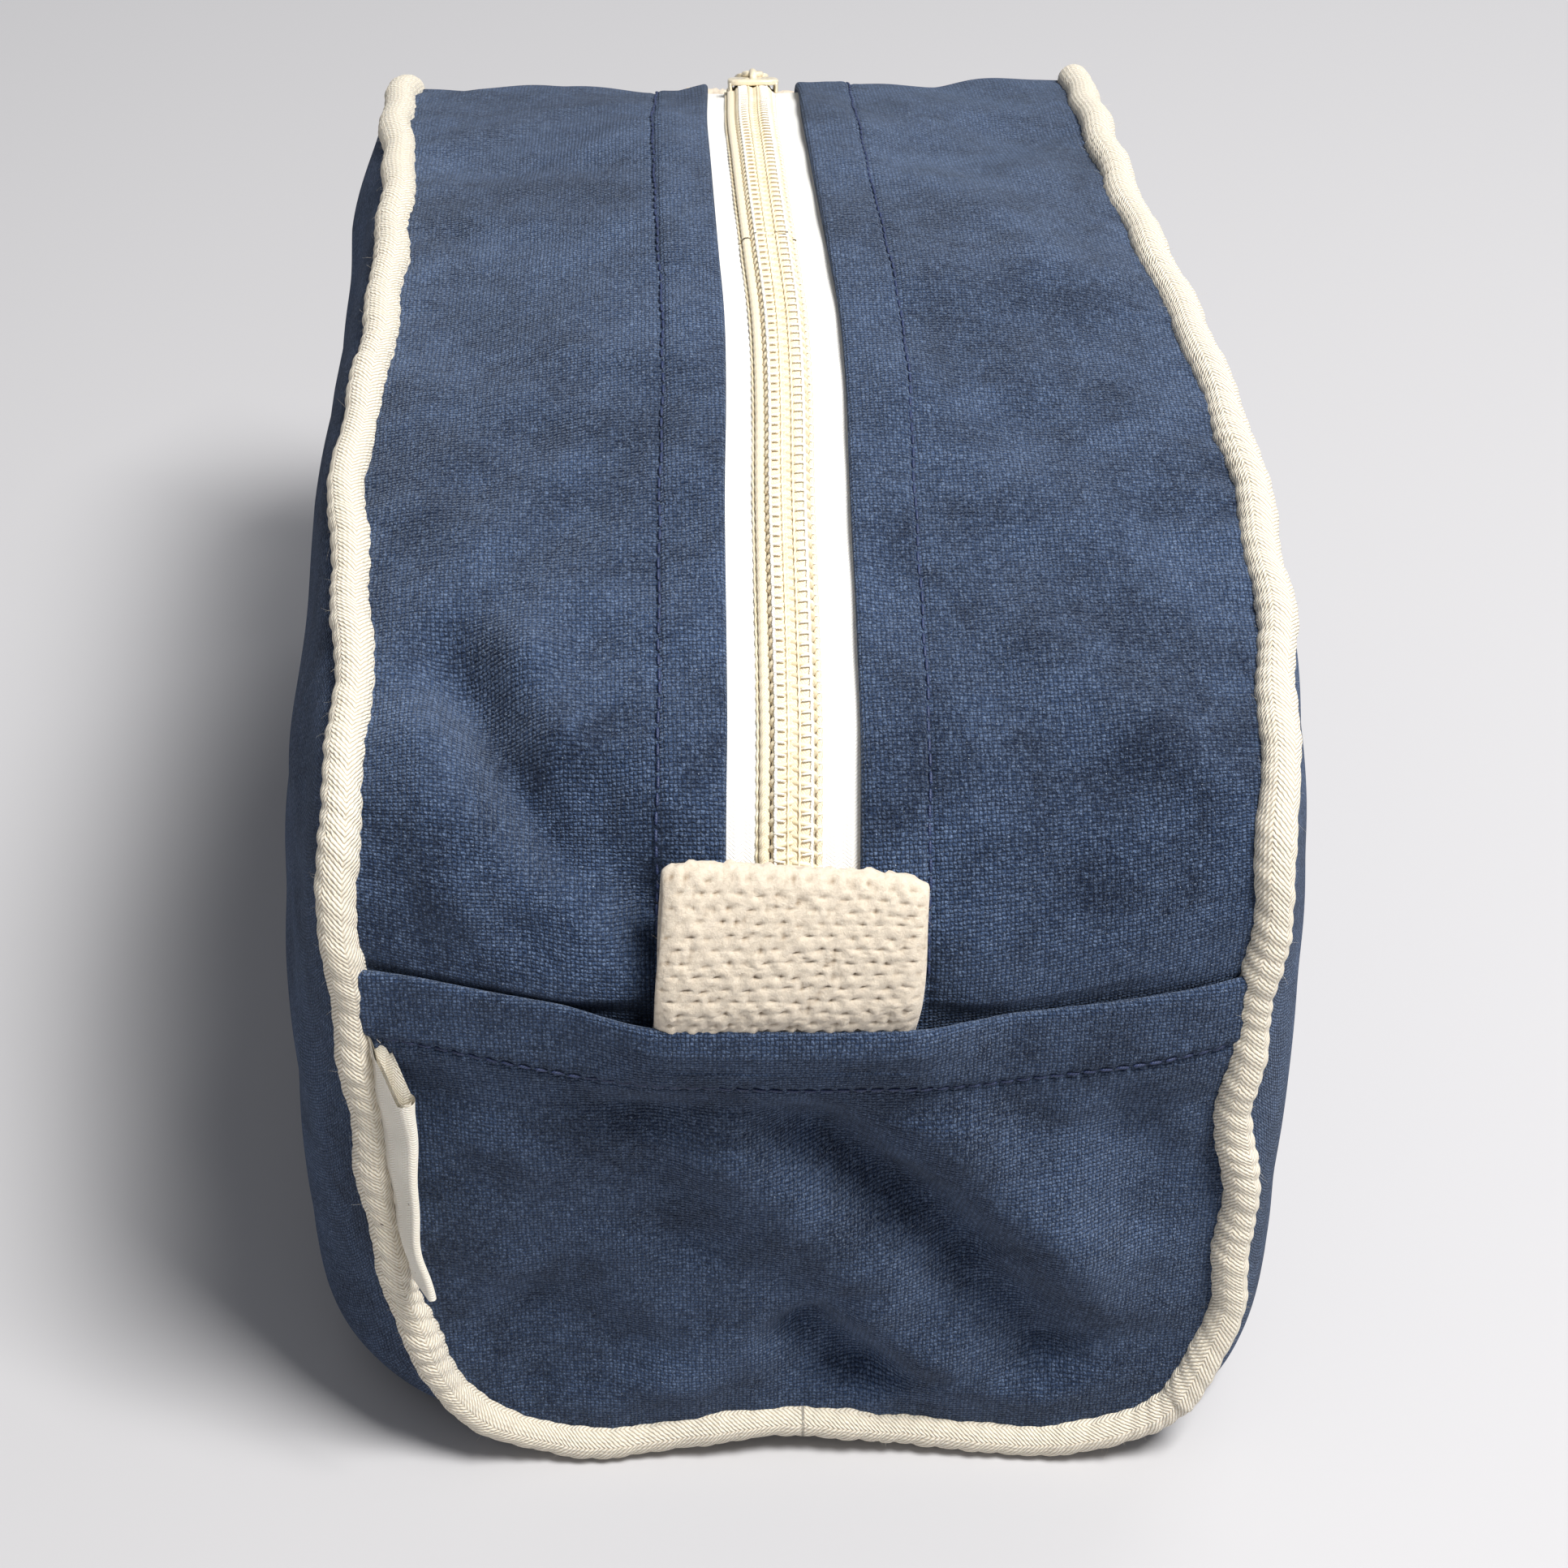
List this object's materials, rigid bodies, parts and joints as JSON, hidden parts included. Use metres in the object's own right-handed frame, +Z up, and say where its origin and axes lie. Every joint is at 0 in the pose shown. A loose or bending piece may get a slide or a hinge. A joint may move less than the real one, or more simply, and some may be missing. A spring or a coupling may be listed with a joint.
{
  "type": "zippered wash bag",
  "caption": "Soft boxy wash bag with a long arched zip, corded piping, a folded webbing tab at each end and a folded tape label in the seam.",
  "frame": {"origin": "on the floor under the middle of the bag, the bottom centre of its bounding box", "axes": "+Y along the bag's length from the front end, which has the label, to the rear end, where the closed zip's slider rests; +X to the right seen from the front end; +Z up"},
  "size_m": [0.165, 0.2804, 0.1628],
  "materials": {
    "navy_canvas": "brushed plain-weave cotton canvas, navy, matt with a short nap",
    "cotton_webbing": "coarse natural cotton webbing, matt",
    "navy_thread": "polyester sewing thread, navy",
    "lining_cloth": "thin plain-weave lining, grey",
    "cotton_twill": "herringbone cotton twill tape, natural cream",
    "slider_enamel": "die-cast slider enamelled ivory",
    "zip_tape": "woven off-white zip tape",
    "zip_teeth": "ivory nylon coil, satin"
  },
  "bodies": {
    "bag": {"body_panel": "navy_canvas", "end_panel_front": "navy_canvas", "end_panel_rear": "navy_canvas", "hem_stitch_front": "navy_thread", "hem_stitch_rear": "navy_thread", "lining_body": "lining_cloth", "lining_front": "lining_cloth", "lining_rear": "lining_cloth", "piping_cord": "cotton_twill", "piping_cover": "cotton_twill", "seam_binding": "lining_cloth", "side_label": "cotton_twill", "zip_canvas_left_front": "navy_canvas", "zip_canvas_left_rear": "navy_canvas", "zip_canvas_right_front": "navy_canvas", "zip_canvas_right_rear": "navy_canvas", "zip_tape_left_front": "zip_tape", "zip_tape_left_rear": "zip_tape", "zip_tape_right_front": "zip_tape", "zip_tape_right_rear": "zip_tape", "zip_teeth_left_front": "zip_teeth", "zip_teeth_left_rear": "zip_teeth", "zip_teeth_right_front": "zip_teeth", "zip_teeth_right_rear": "zip_teeth"},
    "slider": {"slider_body": "slider_enamel"},
    "puller": {"puller": "slider_enamel"},
    "mouth_left": {"zip_canvas_left": "navy_canvas", "zip_tape_left": "zip_tape", "zip_teeth_left": "zip_teeth", "lining_zip_left": "lining_cloth"},
    "mouth_right": {"zip_canvas_right": "navy_canvas", "zip_tape_right": "zip_tape", "zip_teeth_right": "zip_teeth", "lining_zip_right": "lining_cloth"},
    "tab_front": {"end_tab_front": "cotton_webbing"},
    "tab_rear": {"end_tab_rear": "cotton_webbing"}
  },
  "joints": [
    {"name": "zip_slider_travel", "type": "hinge", "parent": "bag", "child": "slider", "pos_m": [0, 0, -0.103], "axis": [1, 0, 0], "range_deg": [0, 44.6]},
    {"name": "puller_flip", "type": "hinge", "parent": "slider", "child": "puller", "pos_m": [0, 0.10215, 0.14607], "axis": [1, 0, 0], "range_deg": [0, 176]},
    {"name": "mouth_left_open", "type": "hinge", "parent": "bag", "child": "mouth_left", "pos_m": [-0.0656, 0, 0.154], "axis": [0, -1, 0], "range_deg": [0, 58]},
    {"name": "mouth_right_open", "type": "hinge", "parent": "bag", "child": "mouth_right", "pos_m": [0.0656, 0, 0.154], "axis": [0, 1, 0], "range_deg": [0, 58]},
    {"name": "tab_front_lift", "type": "hinge", "parent": "bag", "child": "tab_front", "pos_m": [0, -0.14017, 0.09835], "axis": [1, 0, 0], "range_deg": [0, 85]},
    {"name": "tab_rear_lift", "type": "hinge", "parent": "bag", "child": "tab_rear", "pos_m": [0, 0.14017, 0.09835], "axis": [-1, 0, 0], "range_deg": [0, 85]}
  ]
}
